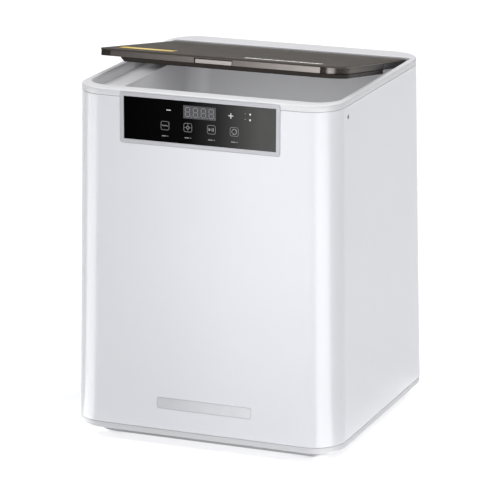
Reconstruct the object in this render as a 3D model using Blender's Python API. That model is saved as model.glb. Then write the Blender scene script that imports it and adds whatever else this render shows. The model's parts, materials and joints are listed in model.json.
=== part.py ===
"""UV curing station for resin prints: a white upright housing with a recessed, flip-up tinted lid, a glass
touch panel let into the front, and a lamp-lined curing chamber with a driven turntable.

Frame: metres, +Z up, front faces -Y, +X to the right seen from the front, origin at the centre of the
footprint on the ground. Dimensions below are in millimetres. The lid stands in its rest pose, partly open.
"""

import math

import bmesh
import bpy

MM = 0.001

# ---- driving dimensions (mm) ---------------------------------------------------------------------------
GAP = 0.3  # clearance between neighbouring pieces

# Housing: half sizes at the upper seam, growing downwards by the draft.
HALF_W, HALF_D = 160.0, 155.35
CORNER_R = 38.0
DRAFT_X, DRAFT_Y = 0.0146, 0.0212
WALL = 3.0
Z_FEET, Z_BASE_TOP, Z_SEAM_LOW = 5.0, 15.0, 22.2
Z_SEAM, Z_TOP = 412.5, 420.0
BASE_INSET = 10.0
SIDE_SCREW = (-108.4, 399.9)  # (y, z) of the screw in each side wall

# Lid pocket in the rim, its shelf, and the chamber mouth inside the shelf.
# Corner radii run front right, rear right, rear left, front left.
POCKET_HALF_X, POCKET_Y, POCKET_R = 152.6, (-136.0, 125.4), (28.0, 5.0, 5.0, 28.0)
Z_SHELF, SHELF_T = 407.4, 3.0
MOUTH_X, MOUTH_Y, MOUTH_R = (-124.6, 149.5), (-98.0, 118.0), (26.0, 26.0, 26.0, 5.0)
MOUTH_EASE = 0.8
Z_SPIGOT = 394.0

# Chamber and drive.
Z_FLOOR, FLOOR_T, LINER_T = 97.0, 2.0, 1.5
WINDOW_HALF, WINDOW_Z = 35.0, (120.0, 330.0)
LAMP_ROWS, LAMP_HALF, LAMP_EDGE = 7, 3.0, 15.0
SPIN_X, SPIN_Y = 12.75, 10.0
TABLE_R, Z_TABLE = 98.0, 109.5
SPINDLE_R, SHAFT_R, RUN_FIT = 5.0, 3.0, 0.06

# Touch panel, in front-view coordinates (x, z).
PANEL_X, PANEL_Z = (-98.8, 96.8), (359.4, 418.1)
GLASS_X, GLASS_Z = (-93.8, 92.4), (361.4, 416.3)
PANEL_PROUD = 0.5
DISPLAY_X, DISPLAY_Z = (-20.4, 19.4), (393.6, 408.6)

# Lid, drawn closed about its hinge axis and then swung open to the rest angle.
HINGE_Y, HINGE_Z = 118.3, 414.5
LID_REST_DEG = 9.0
LID_X, LID_Y = (-152.0, 148.0), (-95.2, 122.8)
LID_TOP, LID_PLATE_T, LID_SKIRT_Z = 419.0, 2.0, 410.0
LID_SKIRT_IN, LID_SKIRT_T, LID_FLUSH = 1.6, 2.6, 0.2  # set in by the first, but nearly flush on the left
LID_R, LID_WALL_R = (11.0, 3.0, 3.0, 3.0), (26.0, 3.0, 3.0, 2.4)
TRAY_X, TRAY_Y, TRAY_Z = (-122.0, 147.4), (-95.2, 45.0), (405.0, 409.8)
TRAY_R, TRAY_SLANT = (24.0, 4.0, 3.0, 3.0), 4.8  # the left end leans out by the slant
PIN_R = 1.5

# Rear fittings.
FAN_X, FAN_Z, FAN_HALF, FAN_MOUTH_R = -70.0, 62.0, 30.0, 28.4
GRILLE_R, SLOT_HALF = 25.5, 2.6
IO_X, IO_Z = (58.0, 128.0), (42.0, 82.0)
JACK_X, JACK_Z = 76.0, 62.0
SWITCH_X, SWITCH_Z, SWITCH_TILT_DEG = 108.0, 62.0, 7.0

FRONT, REAR = -1, 1
COLOURS = {
    "shell_white": ((0.86, 0.86, 0.88), 0.22, 0.0, 1.0),
    "rim_white": ((0.80, 0.80, 0.82), 0.35, 0.0, 1.0),
    "frame_silver": ((0.70, 0.70, 0.73), 0.40, 0.0, 1.0),
    "panel_glass": ((0.010, 0.010, 0.011), 0.08, 0.0, 1.0),
    "black_plastic": ((0.02, 0.02, 0.02), 0.5, 0.0, 1.0),
    "circuit_board": ((0.02, 0.16, 0.07), 0.5, 0.0, 1.0),
    "lamp_board": ((0.85, 0.85, 0.82), 0.5, 0.0, 1.0),
    "liner_grey": ((0.42, 0.42, 0.44), 0.45, 0.0, 1.0),
    "clear_window": ((0.85, 0.88, 0.92), 0.1, 0.0, 0.4),
    "base_grey": ((0.62, 0.62, 0.65), 0.45, 0.0, 1.0),
    "skirt_white": ((0.74, 0.74, 0.76), 0.35, 0.0, 1.0),
    "foot_rubber": ((0.03, 0.03, 0.03), 0.9, 0.0, 1.0),
    "steel": ((0.60, 0.60, 0.61), 0.3, 1.0, 1.0),
    "lid_tint": ((0.095, 0.083, 0.070), 0.22, 0.0, 1.0),
    "lid_tint_light": ((0.27, 0.24, 0.21), 0.3, 0.0, 1.0),
    "accent_yellow": ((0.83, 0.60, 0.13), 0.35, 0.0, 1.0),
    "plate_grey": ((0.30, 0.30, 0.32), 0.35, 0.0, 1.0),
    "table_white": ((0.78, 0.78, 0.80), 0.35, 0.0, 1.0),
    "cable_grey": ((0.45, 0.45, 0.47), 0.6, 0.0, 1.0),
}


# ---- mesh helpers --------------------------------------------------------------------------------------
def clear_scene():
    for obj in list(bpy.data.objects):
        bpy.data.objects.remove(obj, do_unlink=True)


def material(name):
    found = bpy.data.materials.get(name)
    if found:
        return found
    colour, rough, metal, alpha = COLOURS[name]
    made = bpy.data.materials.new(name)
    made.use_nodes = True
    made.diffuse_color = (*colour, alpha)
    shader = made.node_tree.nodes["Principled BSDF"]
    shader.inputs["Base Color"].default_value = (*colour, 1.0)
    shader.inputs["Roughness"].default_value = rough
    shader.inputs["Metallic"].default_value = metal
    shader.inputs["Alpha"].default_value = alpha
    return made


class Place:
    """Where a piece's own axes sit: an origin in mm, and a turn about X in degrees."""

    def __init__(self, x=0.0, y=0.0, z=0.0, turn_x=0.0):
        self.origin, self.turn_x = (x, y, z), math.radians(turn_x)


HOUSE = Place()
LID = Place(0, HINGE_Y, HINGE_Z, -LID_REST_DEG)
SPIN = Place(SPIN_X, SPIN_Y, 0)


def solid(name, points, faces, colour=None, place=HOUSE, lean=0):
    """A closed mesh from points in mm. lean shears it onto the drafted front or rear wall."""
    if lean:
        points = [(x, y + lean * (Z_SEAM - z) * DRAFT_Y, z) for x, y, z in points]
    build = bmesh.new()
    made = [build.verts.new([(c - o) * MM for c, o in zip(p, place.origin)]) for p in points]
    for face in faces:
        build.faces.new([made[i] for i in face])
    bmesh.ops.recalc_face_normals(build, faces=build.faces)
    mesh = bpy.data.meshes.new(name)
    build.to_mesh(mesh)
    build.free()
    obj = bpy.data.objects.new(name, mesh)
    obj.location = [o * MM for o in place.origin]
    obj.rotation_euler = (place.turn_x, 0, 0)
    bpy.context.scene.collection.objects.link(obj)
    if colour:
        mesh.materials.append(material(colour))
    return obj


def grown(radii, by):
    """Corner radii after the outline has moved out by some distance, or in if it is negative."""
    return tuple(max(radius + by, 0.4) for radius in radii)


def rounded(half_x, half_y, radii, z, cx=0.0, cy=0.0, steps=6):
    """A rounded rectangle at height z, anticlockwise from above. radii is one radius, or one per corner:
    front right, rear right, rear left, front left."""
    loop = []
    corners = radii if isinstance(radii, tuple) else (radii,) * 4
    quarters = ((1, -1, -90), (1, 1, 0), (-1, 1, 90), (-1, -1, 180))
    for (sx, sy, start), radius in zip(quarters, corners):
        for k in range(steps + 1):
            a = math.radians(start + 90 * k / steps)
            loop.append((cx + sx * (half_x - radius) + radius * math.cos(a),
                         cy + sy * (half_y - radius) + radius * math.sin(a), z))
    return loop


def spans(x, y, radii, z, steps=6):
    """A rounded rectangle from its (low, high) spans."""
    return rounded((x[1] - x[0]) / 2, (y[1] - y[0]) / 2, radii, z,
                   (x[0] + x[1]) / 2, (y[0] + y[1]) / 2, steps)


def circle(cx, cy, radius, z, steps=24):
    return [(cx + radius * math.cos(2 * math.pi * k / steps),
             cy + radius * math.sin(2 * math.pi * k / steps), z) for k in range(steps)]


def loft(name, loops, colour=None, ring=False, place=HOUSE, lean=0):
    """Skins matching loops in order. ring joins the last to the first, and otherwise both ends are capped."""
    count = len(loops[0])
    points = [p for loop in loops for p in loop]
    pairs = [(i, i + 1) for i in range(len(loops) - 1)]
    if ring:
        pairs.append((len(loops) - 1, 0))
    faces = [(a * count + k, a * count + (k + 1) % count, b * count + (k + 1) % count, b * count + k)
             for a, b in pairs for k in range(count)]
    if not ring:
        faces.append(tuple(range(count)))
        last = (len(loops) - 1) * count
        faces.append(tuple(range(last, last + count)))
    return solid(name, points, faces, colour, place, lean)


def box(name, low, high, colour=None, place=HOUSE, lean=0):
    (x0, y0, z0), (x1, y1, z1) = low, high
    loops = [[(x0, y0, z), (x1, y0, z), (x1, y1, z), (x0, y1, z)] for z in (z0, z1)]
    return loft(name, loops, colour, place=place, lean=lean)


def rod(name, axis, centre, radii, colour=None, steps=20, place=HOUSE, ring=False):
    """A turned piece: radii lists (position along the axis, radius) from one end to the other."""
    loops = []
    for at, radius in radii:
        loop = []
        for k in range(steps):
            c = radius * math.cos(2 * math.pi * k / steps)
            s = radius * math.sin(2 * math.pi * k / steps)
            loop.append({"X": (at, centre[0] + c, centre[1] + s),
                         "Y": (centre[0] + c, at, centre[1] + s),
                         "Z": (centre[0] + c, centre[1] + s, at)}[axis])
        loops.append(loop)
    return loft(name, loops, colour, ring=ring, place=place)


def extrude_x(name, outline, x0, x1, colour=None, place=HOUSE):
    """A (y, z) outline carried along X."""
    return loft(name, [[(x, y, z) for y, z in outline] for x in (x0, x1)], colour, place=place)


def boolean(target, other, operation="DIFFERENCE"):
    """Cuts other from target, or joins it on, and keeps other as a hidden wire helper."""
    step = target.modifiers.new(other.name, "BOOLEAN")
    step.operation, step.object, step.solver = operation, other, "EXACT"
    other.hide_render = True
    other.display_type = "WIRE"
    return target


def relief(name, us, vs, raised, low, base, to_point, colour):
    """A board with raised blocks: us and vs are its grid lines, raised maps a cell to its height."""
    points, index = [], {}

    def at(i, j, h):
        key = (i, j, h)
        if key not in index:
            index[key] = len(points)
            points.append(to_point(us[i], vs[j], h))
        return index[key]

    nu, nv = len(us) - 1, len(vs) - 1
    height = {(i, j): raised.get((i, j), base) for i in range(nu) for j in range(nv)}
    faces = []
    for (i, j), h in height.items():
        faces.append((at(i, j, h), at(i + 1, j, h), at(i + 1, j + 1, h), at(i, j + 1, h)))
        for di, dj, a, b in ((1, 0, (i + 1, j), (i + 1, j + 1)), (0, 1, (i, j + 1), (i + 1, j + 1))):
            other = height.get((i + di, j + dj))
            if other is not None and other != h:
                faces.append((at(*a, h), at(*b, h), at(*b, other), at(*a, other)))
    edge = [(i, 0) for i in range(nu)] + [(nu, j) for j in range(nv)]
    edge += [(i, nv) for i in range(nu, 0, -1)] + [(0, j) for j in range(nv, 0, -1)]
    for a, b in zip(edge, edge[1:] + edge[:1]):
        faces.append((at(*a, base), at(*b, base), at(*b, low), at(*a, low)))
    faces.append(tuple(at(*e, low) for e in edge))
    return solid(name, points, faces, colour)


# ---- housing -------------------------------------------------------------------------------------------
def half_at(z, inset=0.0):
    """Half width and half depth of the drafted housing at height z, moved in by inset."""
    drop = max(Z_SEAM - z, 0.0)
    return HALF_W + drop * DRAFT_X - inset, HALF_D + drop * DRAFT_Y - inset


def hull_loop(z, inset=0.0, at=None):
    hx, hy = half_at(z if at is None else at, inset)
    return rounded(hx, hy, CORNER_R - inset, z)


def rear_y(z, depth=0.0):
    """Depth of the rear wall's outer face at height z, moved in by depth."""
    return half_at(z)[1] - depth


def build_shell():
    low, high = Z_SEAM_LOW + GAP, Z_SEAM - GAP
    shell = loft("outer_shell", [hull_loop(low), hull_loop(high), hull_loop(high, WALL),
                                 hull_loop(low, WALL)], "shell_white", ring=True)
    boolean(shell, box("cut_panel", (PANEL_X[0] - GAP, -175, PANEL_Z[0] - GAP),
                       (PANEL_X[1] + GAP, -140, Z_TOP + 10)))
    boolean(shell, rod("cut_fan_mouth", "Y", (FAN_X, FAN_Z), [(150, FAN_MOUTH_R), (175, FAN_MOUTH_R)],
                       steps=28))
    boolean(shell, box("cut_io", (IO_X[0] - GAP, 150, IO_Z[0] - GAP), (IO_X[1] + GAP, 175, IO_Z[1] + GAP)))
    for side, x0, x1 in (("left", -175, -150), ("right", 150, 175)):
        boolean(shell, rod(f"cut_side_screw_{side}", "X", SIDE_SCREW, [(x0, 2.7), (x1, 2.7)], steps=16))
    boolean(shell, box("cut_nameplate", (-54.3, -HALF_D - 5, 47.8), (63.3, -HALF_D + 1.2, 61.2),
                       lean=FRONT))
    return shell


def build_rim():
    ease = MOUTH_EASE

    def pocket_loop(z, grow=0.0):
        return spans((-POCKET_HALF_X - grow, POCKET_HALF_X + grow), (POCKET_Y[0] - grow, POCKET_Y[1] + grow),
                     grown(POCKET_R, grow), z)

    def mouth_loop(z, grow=0.0):
        return spans((MOUTH_X[0] - grow, MOUTH_X[1] + grow), (MOUTH_Y[0] - grow, MOUTH_Y[1] + grow),
                     grown(MOUTH_R, grow), z)

    under = Z_SHELF - SHELF_T
    loops = [hull_loop(Z_SEAM), hull_loop(Z_TOP - 2.0), hull_loop(Z_TOP - 0.6, 0.6), hull_loop(Z_TOP, 2.0),
             pocket_loop(Z_TOP, ease), pocket_loop(Z_TOP - ease), pocket_loop(Z_SHELF),
             mouth_loop(Z_SHELF, ease), mouth_loop(Z_SHELF - ease), mouth_loop(under),
             hull_loop(under, 6.8, Z_SEAM), hull_loop(Z_SPIGOT, 6.8, Z_SEAM),
             hull_loop(Z_SPIGOT, 3.7, Z_SEAM), hull_loop(Z_SEAM, 3.7)]
    rim = loft("top_rim", loops, "rim_white", ring=True)
    boolean(rim, box("cut_rim_panel", (PANEL_X[0] - GAP, -175, 380),
                     (PANEL_X[1] + GAP, -139.0, PANEL_Z[1] + GAP)))
    boolean(rim, box("cut_rim_core", (-112, 129.0, 380), (112, 146.5, 417.0)))
    for side, s in (("left", -1), ("right", 1)):
        hole = sorted((s * 145, s * 157.4))
        boolean(rim, rod(f"cut_rim_pin_{side}", "X", (HINGE_Y, HINGE_Z),
                         [(hole[0], PIN_R + 0.02), (hole[1], PIN_R + 0.02)], steps=16))
        hole = sorted((s * 150, s * 160))
        boolean(rim, rod(f"cut_rim_screw_{side}", "X", SIDE_SCREW,
                         [(hole[0], 1.45), (hole[1], 1.45)], steps=12))
    return rim


def build_base():
    outer = half_at(Z_SEAM_LOW)
    low = Z_BASE_TOP + GAP

    def loop(z, inset):
        return rounded(outer[0] - inset, outer[1] - inset, CORNER_R - inset, z)

    loft("base_skirt", [loop(low, 1.6), loop(low + 1.6, 0), loop(Z_SEAM_LOW, 0), loop(Z_SEAM_LOW, 15),
                        loop(low, 15)], "skirt_white", ring=True)
    base = loft("base_plate", [loop(Z_FEET, BASE_INSET + 1.2), loop(Z_FEET + 1.2, BASE_INSET),
                               loop(Z_BASE_TOP, BASE_INSET), loop(Z_BASE_TOP, BASE_INSET + 4),
                               loop(Z_FEET + 3, BASE_INSET + 4)], "base_grey")
    for k in range(7):
        x = -72 + 24 * k
        boolean(base, box(f"cut_vent_{k}", (x - 3, -45, 0), (x + 3, 65, 12)))
    for name, sx, sy in (("fl", -1, -1), ("fr", 1, -1), ("bl", -1, 1), ("br", 1, 1)):
        x, y = sx * 122.0, sy * 120.0
        loft(f"foot_{name}", [circle(x, y, 3.4, 0), circle(x, y, 8.2, 0), circle(x, y, 9, 1.5),
                                     circle(x, y, 9, Z_FEET - 0.02), circle(x, y, 1.9, Z_FEET - 0.02),
                                     circle(x, y, 1.9, 3.2), circle(x, y, 3.4, 3.2)],
                    "foot_rubber", ring=True)
        boolean(base, rod(f"cut_foot_{name}", "Z", (x, y), [(0, 1.9), (12, 1.9)], steps=16))
        rod(f"foot_screw_{name}", "Z", (x, y), [(0.9, 3.0), (3.15, 3.0), (3.15, 1.75), (9.5, 1.75)],
            "steel", steps=16)


def build_side_screws():
    for side, s in (("left", -1), ("right", 1)):
        face = s * half_at(SIDE_SCREW[1])[0]
        rod(f"shell_screw_{side}", "X", SIDE_SCREW,
            [(face - s * 0.5, 2.1), (face - s * 0.8, 2.5), (face - s * 2.9, 2.5), (face - s * 3.3, 1.4),
             (face - s * 8.5, 1.4)], "steel", steps=16)


# ---- touch panel ---------------------------------------------------------------------------------------
def panel_loop(x_span, z_span, radius, y, inset=0.0):
    flat = spans((x_span[0] + inset, x_span[1] - inset), (z_span[0] + inset, z_span[1] - inset),
                 radius - inset, 0.0, steps=3)
    return [(x, y, z) for x, z, _ in flat]


def build_panel():
    face = -HALF_D - PANEL_PROUD
    back = face + 6.5
    outer = [panel_loop(PANEL_X, PANEL_Z, 3.0, y, inset) for y, inset in ((back, 0), (face + 0.5, 0), (face, 0.5))]
    inner = [panel_loop(GLASS_X, GLASS_Z, 2.0, y, -GAP) for y in (face, back)]
    loft("panel_frame", outer + inner, "frame_silver", ring=True, lean=FRONT)
    loft("control_glass", [panel_loop(GLASS_X, GLASS_Z, 2.0, face + 2.8),
                           panel_loop(GLASS_X, GLASS_Z, 2.0, face + 0.2)], "panel_glass", lean=FRONT)
    box("display_module", (DISPLAY_X[0], face + 3.1, DISPLAY_Z[0]), (DISPLAY_X[1], face + 9.1, DISPLAY_Z[1]),
        "black_plastic", lean=FRONT)
    board_y = face + 9.4
    us = [-88, -60, -30, 24, 40, 62, 88]
    vs = [364, 369, 377, 386, 394, 412]
    raised = {(1, 1): 5.0, (3, 3): 4.0, (4, 1): 6.5}
    relief("control_board", us, vs, raised, 0.0, 1.6,
           lambda u, v, h: (u, board_y + h - (Z_SEAM - v) * DRAFT_Y, v), "circuit_board")


# ---- chamber, lamps and drive --------------------------------------------------------------------------
def build_chamber():
    xi, yi = (MOUTH_X[0] - 0.5, MOUTH_X[1] + 0.5), (MOUTH_Y[0] - 0.5, MOUTH_Y[1] + 0.5)
    top = Z_SHELF - SHELF_T - GAP

    def loop(z, grow):
        return spans((xi[0] - grow, xi[1] + grow), (yi[0] - grow, yi[1] + grow), grown(MOUTH_R, grow), z)

    flange = [spans((-130.0, 152.6), (-103.5, 123.5), grown(MOUTH_R, 3), z) for z in (top - 1.5, top)]
    liner = loft("chamber_liner", [loop(Z_FLOOR - FLOOR_T, LINER_T), loop(top - 1.5, LINER_T), flange[0],
                                   flange[1], loop(top, 0), loop(Z_FLOOR, 0)], "liner_grey")
    (x0, x1), (y0, y1) = xi, yi
    half, (z0, z1) = WINDOW_HALF, WINDOW_Z
    w = WINDOW_HALF - GAP
    walls = {"left": (x0 - LINER_T, x0), "right": (x1, x1 + LINER_T)}
    for side, (a, b) in walls.items():
        boolean(liner, box(f"cut_window_{side}", (a - 2, SPIN_Y - half, z0), (b + 2, SPIN_Y + half, z1)))
        box(f"diffuser_{side}", (a + 0.1, SPIN_Y - w, z0 + GAP), (b - 0.1, SPIN_Y + w, z1 - GAP),
            "clear_window")
    boolean(liner, box("cut_window_rear", (SPIN_X - half, y1 - 2, z0), (SPIN_X + half, y1 + 4, z1)))
    box("diffuser_rear", (SPIN_X - w, y1 + 0.1, z0 + GAP), (SPIN_X + w, y1 + LINER_T - 0.1, z1 - GAP),
        "clear_window")
    boolean(liner, rod("cut_spindle", "Z", (SPIN_X, SPIN_Y), [(80, 5.3), (110, 5.3)], steps=20))

    # Lamp boards: two columns of emitters each, facing the chamber through the windows.
    us, vs = [-34, -20, -14, 14, 20, 34], [z0 + 2]
    pitch = (z1 - z0 - 2 * LAMP_EDGE) / (LAMP_ROWS - 1)
    for k in range(LAMP_ROWS):
        centre = z0 + LAMP_EDGE + k * pitch
        vs += [centre - LAMP_HALF, centre + LAMP_HALF]
    vs.append(z1 - 2)
    raised = {(i, j): 2.6 for i in (1, 3) for j in range(1, 2 * LAMP_ROWS, 2)}
    back_l, back_r, back_y = x0 - LINER_T - 3.0, x1 + LINER_T + 3.0, y1 + LINER_T + 3.0
    relief("uv_board_left", us, vs, raised, 0.0, 1.4, lambda u, v, h: (back_l + h, SPIN_Y + u, v), "lamp_board")
    relief("uv_board_right", us, vs, raised, 0.0, 1.4, lambda u, v, h: (back_r - h, SPIN_Y + u, v),
           "lamp_board")
    relief("uv_board_rear", us, vs, raised, 0.0, 1.4, lambda u, v, h: (SPIN_X + u, back_y - h, v),
           "lamp_board")


def build_drive():
    c = (SPIN_X, SPIN_Y)
    rod("drive_motor", "Z", c, [(50, 24.5), (50.6, 25), (73.4, 25), (74, 24.5), (74, 7), (76.5, 7),
                                (76.5, SHAFT_R), (91.0, SHAFT_R)], "steel", steps=24)
    # Hat-section bracket: the motor hangs under its crown and its feet reach the chamber floor.
    y, t, top = SPIN_Y, 2.0, Z_FLOOR - FLOOR_T - GAP
    hat = [(y - 58, top - t), (y - 44 + t, top - t), (y - 44 + t, 74.3), (y + 44 - t, 74.3),
           (y + 44 - t, top - t), (y + 58, top - t), (y + 58, top), (y + 44 - 2 * t, top),
           (y + 44 - 2 * t, 74.3 + t), (y - 44 + 2 * t, 74.3 + t), (y - 44 + 2 * t, top), (y - 58, top)]
    bracket = extrude_x("motor_bracket", hat, SPIN_X - 28, SPIN_X + 28, "steel")
    boolean(bracket, rod("cut_bracket", "Z", c, [(70, 7.3), (82, 7.3)], steps=20))
    bore = SHAFT_R + RUN_FIT
    rod("drive_rotor", "Z", c, [(78, bore), (78, 9), (80, 10), (80, 33), (81, 34), (88, 34), (89, 33),
                                (89, bore)], "black_plastic", steps=28, place=SPIN, ring=True)
    rod("spindle", "Z", c, [(89.6 + 2.2, 10), (94.7, 10), (94.7, SPINDLE_R), (107, SPINDLE_R),
                            (107.8, SPINDLE_R - 0.8)], "steel", steps=20)
    rod("thrust_washer", "Z", c, [(97.3, 5.4), (97.3, 14), (99.3, 14), (99.3, 5.4)], "table_white",
        steps=20, ring=True)
    table = rod("turntable", "Z", c, [(99.5, 35), (100.5, 36), (105.5, 36), (105.5, TABLE_R - 1),
                                      (106.5, TABLE_R), (111.3, TABLE_R), (111.3, TABLE_R - 2.5),
                                      (Z_TABLE, TABLE_R - 3)], "table_white", steps=36, place=SPIN)
    boolean(table, rod("cut_table_bore", "Z", c, [(90, SPINDLE_R + RUN_FIT), (108.3, SPINDLE_R + RUN_FIT)],
                       steps=20, place=SPIN))
    for k in range(6):
        a = math.radians(60 * k)
        u, v = (math.cos(a), math.sin(a)), (-math.sin(a), math.cos(a))
        corner = [(SPIN_X + r * u[0] + w * v[0], SPIN_Y + r * u[1] + w * v[1])
                  for r, w in ((48, -3), (84, -3), (84, 3), (48, 3))]
        boolean(table, loft(f"cut_table_slot_{k}", [[(x, y_, z) for x, y_ in corner] for z in (98, 120)],
                            place=SPIN))
    us, vs = [-60, -42, -20, 8, 30, 60, 88, 94], [-130, -118, -96, -84, -66, -56]
    raised = {(1, 1): 36.0, (3, 1): 28.0, (5, 1): 44.0, (1, 3): 26.0, (3, 3): 30.0}
    relief("driver_board", us, vs, raised, 14.0, 15.6, lambda u, v, h: (u, v, h), "circuit_board")
    ribbon = [(-141.0, 17.2), (-128.0, 17.2), (-128.0, 16.2), (-142.0, 16.2), (-142.0, 380.0),
              (-141.0, 380.0)]
    extrude_x("ribbon_cable", ribbon, -12, 12, "cable_grey")


# ---- lid -----------------------------------------------------------------------------------------------
def lid_loop(z, inset, radii):
    return spans((LID_X[0] + inset, LID_X[1] - inset), (LID_Y[0] + inset, LID_Y[1] - inset), radii, z)


def skirt_loop(z, inset, radii):
    """The lid's skirt: flush with the plate on the left and set in under it elsewhere."""
    left = LID_X[0] + inset - LID_SKIRT_IN + LID_FLUSH
    return spans((left, LID_X[1] - inset), (LID_Y[0] + inset, LID_Y[1] - inset), radii, z)


def build_lid():
    under = LID_TOP - LID_PLATE_T
    skirt, hollow = LID_SKIRT_IN, LID_SKIRT_IN + LID_SKIRT_T
    inner_r = grown(LID_WALL_R, -LID_SKIRT_T)
    loops = [skirt_loop(LID_SKIRT_Z, hollow, inner_r), skirt_loop(LID_SKIRT_Z, skirt, LID_WALL_R),
             skirt_loop(under, skirt, LID_WALL_R), lid_loop(under, 0, LID_R),
             lid_loop(LID_TOP - 0.5, 0, LID_R), lid_loop(LID_TOP, 0.5, grown(LID_R, -0.5))]
    cover = loft("lid_cover", loops, "lid_tint", place=LID)
    boolean(cover, loft("cut_lid_hollow", [skirt_loop(z, hollow, inner_r) for z in (LID_SKIRT_Z - 5, under)],
                        place=LID))
    boolean(cover, box("cut_lid_latch", (-34.0, -110, 400), (13.4, LID_Y[0] + 6.6, under), place=LID))
    beam_back, beam_front = HINGE_Y + 3.2, TRAY_Y[1] + GAP
    # The skirt stops in front of the hinge, which turns inside the pocket's rear wall.
    boolean(cover, box("cut_lid_rear", (-160, beam_front - 0.2, 400), (160, 140, under), place=LID))
    beam = box("lid_hinge_beam", (-146.5, beam_front, 409.6), (146.5, beam_back, under - GAP), "black_plastic",
               place=LID)
    boolean(beam, box("cut_beam_hollow", (-138, beam_front + 4, 400), (138, HINGE_Y - 8, under - 3),
                      place=LID))
    for side, s in (("left", -1), ("right", 1)):
        hole = sorted((s * 134, s * 152))
        boolean(beam, rod(f"cut_beam_pin_{side}", "X", (HINGE_Y, HINGE_Z),
                          [(hole[0], PIN_R + RUN_FIT), (hole[1], PIN_R + RUN_FIT)], steps=16, place=LID))
        rod(f"hinge_pin_{side}", "X", (HINGE_Y, HINGE_Z),
            [(s * 136, PIN_R - 0.4), (s * 136.4, PIN_R), (s * 157.2, PIN_R)], "steel", steps=16)

    (x0, x1), (y0, y1), (z0, z1) = TRAY_X, TRAY_Y, TRAY_Z

    def tray(z, inset):
        lean = TRAY_SLANT * (z - z0) / (z1 - z0)
        return spans((x0 - lean + inset, x1 - inset), (y0 + inset, y1 - inset), grown(TRAY_R, -inset), z)

    loft("lid_tray", [tray(z0, 1.0), tray(z0 + 1.0, 0), tray(z1, 0), tray(z1, 3.0), tray(z0 + 2, 3.0)],
         "lid_tint", place=LID)
    fascia_y = (LID_Y[0] + 0.3, LID_Y[0] + 1.3)
    fascia = box("lid_fascia", (-138.5, fascia_y[0], LID_SKIRT_Z + 0.1), (120.0, fascia_y[1], under - 0.2),
                 "lid_tint_light", place=LID)
    boolean(fascia, box("cut_fascia", (-34.0, -110, 400), (13.4, -80, under - 1.0), place=LID))
    return fascia


def build_lid_trim():
    under = LID_TOP - LID_PLATE_T
    box("lid_latch", (-33.6, LID_Y[0] - 0.1, LID_SKIRT_Z - 0.1), (13.0, LID_Y[0] + 6.2, under - 1.3),
        "lid_tint_light", place=LID)
    box("accent_stripe", (-138.5, -72.5, LID_TOP + 0.05), (-72.5, -52.5, LID_TOP + 0.35), "accent_yellow",
        place=LID)
    box("lid_magnet", (-25, LID_Y[0] + 8, TRAY_Z[0] + 2.3), (5, LID_Y[0] + 14, TRAY_Z[0] + 6.3), "steel",
        place=LID)
    box("lid_sensor", (-18, -112, Z_SHELF - SHELF_T - 8), (2, -105, Z_SHELF - SHELF_T - GAP), "black_plastic")
    for name, y in (("front", 62.0), ("rear", 100.0)):
        rod(f"lid_bumper_{name}", "Z", (-136.0, y), [(Z_SHELF + 0.02, 4.5), (Z_SHELF + 1.0, 4.5),
                                                     (Z_SHELF + 1.9, 3.5)], "foot_rubber", steps=16)


# ---- rear fittings -------------------------------------------------------------------------------------
def build_fan():
    face = 158.6
    x, z, half = FAN_X, FAN_Z, FAN_HALF
    frame = box("fan_frame", (x - half, face - 15, z - half), (x + half, face, z + half), "black_plastic")
    boolean(frame, rod("cut_fan_bore", "Y", (x, z), [(face - 20, 28), (face + 5, 28)], steps=28))
    # Motor hub on three struts, joined to the frame at the inner side.
    boolean(frame, rod("join_fan_hub", "Y", (x, z), [(face - 15, 11), (face - 12, 11)], steps=16), "UNION")
    for k in range(3):
        a = math.radians(90 + 120 * k)
        u, v = (math.cos(a), math.sin(a)), (-math.sin(a), math.cos(a))
        plan = [(x + r * u[0] + w * v[0], z + r * u[1] + w * v[1])
                for r, w in ((8, -1.5), (29, -1.5), (29, 1.5), (8, 1.5))]
        strut = loft(f"join_fan_strut_{k}", [[(px, y, pz) for px, pz in plan]
                                             for y in (face - 14.9, face - 12.1)])
        boolean(frame, strut, "UNION")
    # Impeller: a seven-bladed star, twisted from its back face to its front one.
    blades, hub_r, tip_r, twist = 7, 10.5, 26.0, 30.0
    loops = []
    for step in range(4):
        y, turn, loop = face - 10.5 + 7.5 * step / 3, twist * step / 3, []
        for blade in range(blades):
            for radius, lead in ((hub_r, -12.0), (tip_r, -5.0), (tip_r, 5.0), (hub_r, 12.0)):
                a = math.radians(360 / blades * blade + lead + turn)
                loop.append((x + radius * math.cos(a), y, z + radius * math.sin(a)))
        loops.append(loop)
    return loft("fan_rotor", loops, "black_plastic", place=Place(FAN_X, 0, FAN_Z))


def build_grille():
    """Finger guard: a flat disc let into the fan mouth, with a row of slots."""
    x, z = FAN_X, FAN_Z
    y0, y1 = HALF_D - 2.6, HALF_D - 0.4
    steps = 28

    def ring(y, radius):
        turns = [2 * math.pi * k / steps for k in range(steps)]
        return [(x + radius * math.cos(a), y, z + radius * math.sin(a)) for a in turns]

    faces = [ring(y, FAN_MOUTH_R - GAP) for y in (y0, y1)]
    disc = loft("fan_grille", faces, "frame_silver", lean=REAR)
    for k in range(5):
        w = 10 * k - 20
        reach = math.sqrt(GRILLE_R ** 2 - (abs(w) + SLOT_HALF) ** 2)
        low, high = (x - reach, 150, z + w - SLOT_HALF), (x + reach, 175, z + w + SLOT_HALF)
        boolean(disc, box(f"cut_grille_{k}", low, high))


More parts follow.
